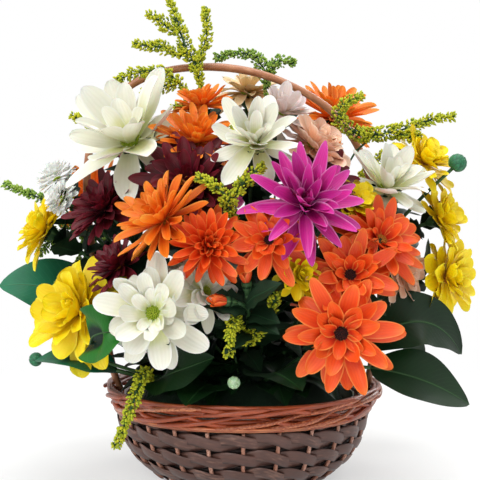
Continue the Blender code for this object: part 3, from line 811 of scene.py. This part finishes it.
def broad_leaf(node, paint):
    """A broad pointed leaf on its stalk, swept through the rings of its solid."""
    rng = random.Random(node)
    body = Body()
    found = [r for r, _ in rings(node)]
    centres = np.array([r.mean(0) for r in found])
    reach = np.array([np.linalg.norm(r - r.mean(0), axis=1).max() for r in found])
    wide = [i for i in range(len(found)) if reach[i] > 2.6 * MM]
    first = max(wide[0] - 1, 1)
    body.tube(smooth(centres[:first + 1], 16), 1.2 * MM, "stem", 0.3, 8)
    sides = []
    last = None
    for ring in found:
        offsets = ring - ring.mean(0)
        far = offsets[np.linalg.norm(offsets, axis=1).argmax()]
        far = unit(far)
        if last is not None and far.dot(last) < 0:
            far = -far
        sides.append(far)
        last = far
    for i in range(wide[0]):
        sides[i] = sides[wide[0]]
    rows = 26
    spine = smooth(centres[first:], rows)
    side = smooth(np.array(sides[first:]), rows)
    s = np.linspace(0, 1, rows)
    widest = reach.max() * 1.04
    half = widest * np.sin(math.pi * s ** 0.82) ** 0.62 * (1 - 0.25 * s ** 4)
    half[0] = 1.2 * MM
    half[-1] = 0.3 * MM
    across = np.linspace(-1, 1, 13)
    cup, hollow = CUPS.get(node, (0.14, 0))
    made = np.zeros((rows, 13, 3))
    wave = rng.uniform(0, 6)
    for i in range(rows):
        ahead = unit(spine[min(i + 1, rows - 1)] - spine[max(i - 1, 0)])
        right = unit(side[i] - ahead * side[i].dot(ahead))
        up = np.cross(right, ahead)
        if up[2] < 0:
            up = -up
        ripple = 0.05 * np.sin(wave + s[i] * 8 + across * 3) * across ** 2
        rise = half[i] * (cup * across ** 2 + 0.1 * np.abs(across) + ripple)
        rise = rise - hollow * MM * math.exp(-((s[i] - 0.3) / 0.22) ** 2) * (1 - across ** 2) ** 2
        made[i] = spine[i] + np.outer(half[i] * across, right) + np.outer(rise, up)
    body.grid(made, paint, rng.random())
    body.tube(spine - np.array([0, 0, 0.25 * MM]), np.linspace(0.9, 0.2, rows) * MM, "stem", 0.5, 6)
    return body.build(node + "_blade", node)


def floret(body, base, lean, size, paint, rng):
    """One tiny goldenrod floret: a plump bud on a short foot."""
    body.tube([base, base + lean * size * 0.6, base + lean * size * 1.3],
              [size * 0.3, size * 0.5, size * 0.22], paint, rng.random(), 5)


def goldenrod(node):
    """Green stems with dense plumes of florets along the thick stretches of the solid."""
    rng = random.Random(node)
    body = Body()
    found = rings(node)
    centres = [r.mean(0) for r, _ in found]
    spread = [np.linalg.norm(r - r.mean(0), axis=1).mean() for r, _ in found]
    for i, (_, before) in enumerate(found):
        if before < 0:
            continue
        a, b = centres[before], centres[i]
        length = np.linalg.norm(b - a)
        if length < 0.5 * MM or length > 60 * MM:
            continue
        ahead = (b - a) / length
        body.tube([a - ahead * 0.4 * MM, b + ahead * 0.4 * MM], 0.75 * MM, "stem", 0.4, 6)
        thick = min(spread[before], spread[i])
        if max(spread[before], spread[i]) < 1.15 * MM:
            continue
        right, up = axes(ahead)
        count = int(length / MM * 7)
        paint = "pale_floret" if node in ("sprig_left", "sprig_handle") else "floret"
        for k in range(count):
            t = rng.random()
            turn = rng.uniform(0, 2 * math.pi)
            out = right * math.cos(turn) + up * math.sin(turn)
            radius = (spread[before] * (1 - t) + spread[i] * t) * rng.uniform(0.3, 1.5)
            radius = min(radius, 4.2 * MM)
            spot = a + ahead * length * t
            lean = unit(out + ahead * 0.9)
            floret(body, spot + out * radius, lean, rng.uniform(1.1, 2.0) * MM, paint, rng)
            if k % 4 == 0:
                body.tube([spot, spot + out * radius + lean * 0.3 * MM], 0.3 * MM, "stem", 0.5, 4)
    return body.build(node + "_plume", node)


# Rings of leaves over the foam: how many, where they start from the middle in mm, their length and their lift
COLLAR_RINGS = [(34, 44, 56, 36, 0), (26, 30, 44, 40, 10), (18, 14, 30, 40, 25), (10, 4, 14, 40, 45)]


def collar():
    """Dark leaves laid over the foam and out to the border, with a taller tuft at the front left."""
    rng = random.Random(5)
    body = Body()
    heights, radii = turned("foam")
    dome = sorted(zip(radii, heights), key=lambda p: (p[0], -p[1]))
    top = [p for p in dome if p[1] > 0.044]

    def lay(turn, reach, z, tilt, length, width, droop):
        level = np.array([math.cos(turn), math.sin(turn), 0])
        out = level * math.cos(tilt) + np.array([0, 0, math.sin(tilt)])
        side = unit(np.cross((0, 0, 1), level))
        rows = blade_rows(length * MM, width * MM, droop, rng)
        placed = set_in(rows, out, side, np.cross(out, side))
        body.grid(placed + level * reach + np.array([0, 0, z]), "leaf", rng.random())

    for count, near, far, length, lift in COLLAR_RINGS:
        for i in range(count):
            turn = 2 * math.pi * (i + rng.uniform(0, 0.9)) / count
            reach = rng.uniform(near, far) * MM
            z = np.interp(reach, [p[0] for p in top], [p[1] for p in top])
            tilt = math.radians(lift + rng.uniform(-6, 14))
            size = (length * rng.uniform(0.85, 1.1), rng.uniform(19, 27))
            lay(turn, reach, z, tilt, *size, rng.uniform(0.7, 1.1))
    for i in range(9):
        tilt = math.radians(rng.uniform(24, 44))
        size = (rng.uniform(50, 62), rng.uniform(24, 30))
        lay(math.radians(196 + i * 7), 46 * MM, 64 * MM, tilt, *size, rng.uniform(0.5, 0.8))
    ob = body.build("leaf_collar")


# ---------------------------------------------------------------- basket

STAKES = 24
ROW_PITCH = 12.5  # from one pair of weavers to the next, mm
BAND_HALF = 3.8
# A flat weaver's outline: up it against half its height, and out from its middle in mm
BAND_SECTION = [(-1, 0.3), (-0.5, 0.5), (0, 0.6), (0.5, 0.5), (1, 0.3), (1, -0.4), (0, -0.4), (-1, -0.4)]


def turned(node):
    """Outer radius of a turned node at each height, from its corners."""
    corners, _ = solid(node)
    radii = np.hypot(corners[:, 0], corners[:, 1])
    heights = sorted({round(float(z), 5) for z in corners[:, 2]})
    return heights, [radii[np.abs(corners[:, 2] - z) < 2e-5].max() for z in heights]


def basket_wall():
    """Pairs of flat weavers that change places between round stakes, with rings of fine near-black rods
    behind them as painted shade that darkens the gaps.
    """
    rng = random.Random(7)
    body = Body()
    heights, radii = turned("basket_wall")
    top = heights[-1]
    middle = 2.0 * MM
    levels = np.linspace(0.0, top, 24)
    for i in range(STAKES):
        turn = 2 * math.pi * i / STAKES
        reach = np.interp(levels, heights, radii) - middle
        path = np.stack([reach * math.cos(turn), reach * math.sin(turn), levels], 1)
        path[0, 2] += 1.4 * MM
        body.tube(path, 1.35 * MM, "stake", rng.random(), 8)
    turns = np.linspace(0, 2 * math.pi, STAKES * 10 + 1)
    front = (turns + math.pi / 2 + math.pi) % (2 * math.pi) - math.pi
    drift = 0.8 * np.sin(turns * 3) + 2.6 * np.exp(-((front - 0.14) / 0.25) ** 2)
    for row in range(-1, 4):
        for strand in range(2):
            phase = turns * STAKES / 2 + math.pi * strand
            wave = np.cos(phase + 0.4)
            weave = np.sign(wave) * np.abs(wave) ** 0.85
            middle_z = (10.6 + row * ROW_PITCH + drift - 2.4 * np.sin(phase)) * MM
            section = []
            for share, lift in BAND_SECTION:
                z = np.clip(middle_z + BAND_HALF * share * MM, 0, top)
                reach = np.interp(z, heights, radii) - middle + weave * 2.1 * MM + lift * MM
                section.append(np.stack([reach * np.cos(turns), reach * np.sin(turns), z], 1))
            body.grid(np.stack(section, 1), "band", rng.random(), round_=True)
    # painted shade: near-black rods just inside the weave, so the gaps between weavers read dark
    shade_ring_heights = np.linspace(1.6 * MM, top - 1.2 * MM, 15)
    for z in shade_ring_heights:
        reach = np.interp(z, heights, radii) - 5.6 * MM
        round_it = turns[:-1]
        path = np.stack([reach * np.cos(round_it), reach * np.sin(round_it), np.full(len(round_it), z)], 1)
        body.tube(path[::3], 1.5 * MM, "shade_rod", rng.random(), 6, closed=True)
    return body.build("woven_wall", "basket_wall")


def rim_border():
    """Long rods laid over each other on a slant between a top and a bottom hoop."""
    rng = random.Random(11)
    body = Body()
    heights, radii = turned("rim_border")
    bottom, top = heights[0], heights[-1]
    rod = 1.65 * MM
    turns = np.linspace(0, 2 * math.pi, 145)[:-1]

    def place(turn, z, inset):
        reach = np.interp(z, heights, radii) - inset
        return np.stack([reach * np.cos(turn), reach * np.sin(turn), np.broadcast_to(z, turn.shape)], 1)

    hoops = [(top - rod, 3.2 * MM), (top - rod * 1.3, 6.0 * MM)]
    hoops += [(bottom + rod, 1.9 * MM), (bottom + rod, 4.6 * MM)]
    hoops += [(top - rod * share, 6.6 * MM) for share in (3.2, 5.1, 7.0, 8.8)]
    for z, inset in hoops:
        wobble = z + 0.3 * MM * np.sin(turns * 5 + z * 900)
        body.tube(place(turns, wobble, inset), rod * 0.98, "rod", rng.random(), 10, closed=True)
    for way, count, reach, deep in ((1, 17, 3.1, 1.4 * MM), (-1, 12, 1.8, 3.4 * MM)):
        span = 2 * math.pi * reach / count * way
        for i in range(count):
            start = 2 * math.pi * i / count + rng.uniform(-0.07, 0.07)
            share = np.linspace(0, 1, 40)
            climb = share * share * (3 - 2 * share) * 0.7 + share * 0.3
            z = bottom + rod * 1.1 + (top - bottom - rod * 2.2) * climb
            depth = deep + 2.0 * MM * np.abs(share - 0.5) + 0.9 * MM * np.sin(share * 11 + i * 2)
            thin = rod * rng.uniform(0.82, 1.0) * np.clip(np.minimum(share, 1 - share) * 14 + 0.35, 0, 1)
            body.tube(place(start + span * share, z, depth), thin, "rod", rng.random(), 10)
    return body.build("willow_border", "rim_border")


def handle():
    """A bent cane, thickest at its nodes."""
    body = Body()
    corners, triangles = solid("handle")
    near = neighbours(corners, triangles)
    low = corners[:, 2].min()
    level = [i for i in range(len(corners)) if corners[i, 0] < 0 and corners[i, 2] < low + 3.2 * MM]
    seen = set(level)
    path = [corners[level].mean(0)]
    while level:
        after = {j for i in level for j in near[i]} - seen
        seen |= after
        level = list(after)
        if level:
            path.append(corners[level].mean(0))
    path = smooth(path, 150)
    s = np.linspace(0, 1, 150)
    radius = 2.7 * MM * (1 + 0.05 * np.exp(-((s * 7 % 1 - 0.5) / 0.03) ** 2) + 0.03 * np.sin(s * 40))
    body.tube(path, radius, "cane", 0.5, 14)
    return body.build("cane_handle", "handle")


# A base weaver's outline: across it from the middle of the base outwards, and up from its middle in mm
SPLINT_SECTION = [(0.04, 0.45), (0.5, 0.6), (0.96, 0.45), (0.96, -0.45), (0.5, -0.6), (0.04, -0.45)]


def base():
    """The underside: spokes crossed at the middle with flat weavers round them."""
    rng = random.Random(3)
    body = Body()
    low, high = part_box("basket_base")
    reach = high.x - 2.4 * MM
    mid = (low.z + high.z) / 2
    for i in range(12):
        turn = math.pi * i / 12
        way = np.array([math.cos(turn), math.sin(turn), 0])
        path = [way * reach * t + np.array([0, 0, mid]) for t in np.linspace(-1, 1, 9)]
        body.tube(path, 1.0 * MM, "stake", rng.random(), 6, 0.5)
    turns = np.linspace(0, 2 * math.pi, 24 * 6 + 1)
    rows = 9
    step = (reach - 6 * MM) / rows
    for row in range(rows):
        inner = 6 * MM + row * step
        weave = np.cos(turns * 12 + math.pi * row) * 0.95 * MM
        section = []
        for share, lift in SPLINT_SECTION:
            r = inner + step * share
            section.append(np.stack([r * np.cos(turns), r * np.sin(turns), mid + weave + lift * MM], 1))
        body.grid(np.stack(section, 1), "band", rng.random(), round_=True)
    return body.build("woven_base", "basket_base")


# ---------------------------------------------------------------- assembly

for key, styles_of in BLOOMS.items():
    bloom(key, styles_of)
bud("green_bud_right", "bud")
bud("green_bud_left", "bud")
bud("green_bud_front", "pale_bud")
for key, paint_of in LEAVES.items():
    broad_leaf(key, paint_of)
for key in sorted(n for n in NODES if n.startswith("sprig")):
    goldenrod(key)
collar()
basket_wall()
rim_border()
handle()
base()
for key, material_of in (("foam", foam_paint()), ("liner", film_paint())):
    NODES[key].data.materials.clear()
    NODES[key].data.materials.append(material_of)


# ---------------------------------------------------------------- room, light and camera

def seen_rays(p):
    """1 for rays from the camera, in reflections and through clear things, and 0 for other light."""
    camera_rays = p.node("LightPath", {}, {}, "Is Camera Ray")
    mirrored = p.node("LightPath", {}, {}, "Is Glossy Ray")
    through = p.node("LightPath", {}, {}, "Is Transmission Ray")
    return (camera_rays + mirrored + through).clip()


def white_to_camera(p, surface, share):
    """Mixes plain white over a surface where the camera looks straight at it."""
    glow = p.node("Emission", {}, {"Color": "ffffff", "Strength": 1.0})
    return p.node("MixShader", {}, {0: seen_rays(p) * share, 1: surface, 2: glow})


def room():
    """A pale floor that fades to white away from the basket and keeps its shadow."""
    mesh = bpy.data.meshes.new("floor")
    mesh.from_pydata([(-6, -6, 0), (6, -6, 0), (6, 6, 0), (-6, 6, 0)], [], [(0, 1, 2, 3)])
    floor = bpy.data.objects.new("floor", mesh)
    bpy.context.scene.collection.objects.link(floor)
    p = Paint("pale_floor")
    p.done(Base_Color="f6f6f4", Roughness=0.8)
    place = p.node("TexCoord", {}, {}, "Object")
    away = p.node("VectorMath", {"operation": "LENGTH"}, [place], "Value")
    share = p.step(away, 0.1, 0.5) * 0.5 + 0.5
    cover = white_to_camera(p, Value(p, p.shader.outputs[0]), share)
    p.fill(p.tree.nodes["Material Output"].inputs["Surface"], cover)
    mesh.materials.append(p.material)


def world():
    """Soft light from all round, white where the camera sees it."""
    scene = bpy.context.scene
    scene.world = bpy.data.worlds.new("studio")
    scene.world.use_nodes = True
    sky = Tree(scene.world.node_tree)
    soft = sky.node("Background", {}, {"Color": (0.94, 0.97, 1.0, 1.0), "Strength": 0.66})
    white = sky.node("Background", {}, {"Color": "ffffff", "Strength": 1.0})
    blend = sky.node("MixShader", {}, [seen_rays(sky), soft, white])
    sky.fill(sky.tree.nodes["World Output"].inputs["Surface"], blend)


def lamp(name, place, aim, size, power, colour):
    """A square soft light of this size in metres and power in watts, aimed at a point."""
    light = bpy.data.lights.new(name, "AREA")
    light.size = size
    light.energy = power
    light.color = colour
    ob = bpy.data.objects.new(name, light)
    ob.location = place
    ob.rotation_euler = (Vector(aim) - Vector(place)).to_track_quat("-Z", "Y").to_euler()
    bpy.context.scene.collection.objects.link(ob)


CAMERA_PLACE = (-0.002, -0.7, 0.182)
LOOKS_DOWN = 1.6  # degrees
FOCAL_LENGTH = 73.7  # mm, on a 36 mm sensor


def camera():
    """Level with the blooms, close in front."""
    lens = bpy.data.cameras.new("camera")
    lens.lens = FOCAL_LENGTH
    lens.sensor_width = 36
    ob = bpy.data.objects.new("camera", lens)
    ob.location = CAMERA_PLACE
    ob.rotation_euler = (math.radians(90 - LOOKS_DOWN), 0, 0)
    bpy.context.scene.collection.objects.link(ob)
    bpy.context.scene.camera = ob


room()
world()
lamp("key", (-0.75, -0.95, 0.95), (0, 0, 0.15), 0.9, 10.5, (1.0, 0.98, 0.95))
lamp("top", (0.1, -0.1, 1.3), (0, 0, 0.1), 0.9, 9.5, (1.0, 1.0, 1.0))
lamp("back", (0.7, 0.9, 0.8), (0, 0, 0.15), 0.7, 8, (1.0, 1.0, 1.0))
camera()
bpy.context.scene.view_settings.view_transform = "Standard"
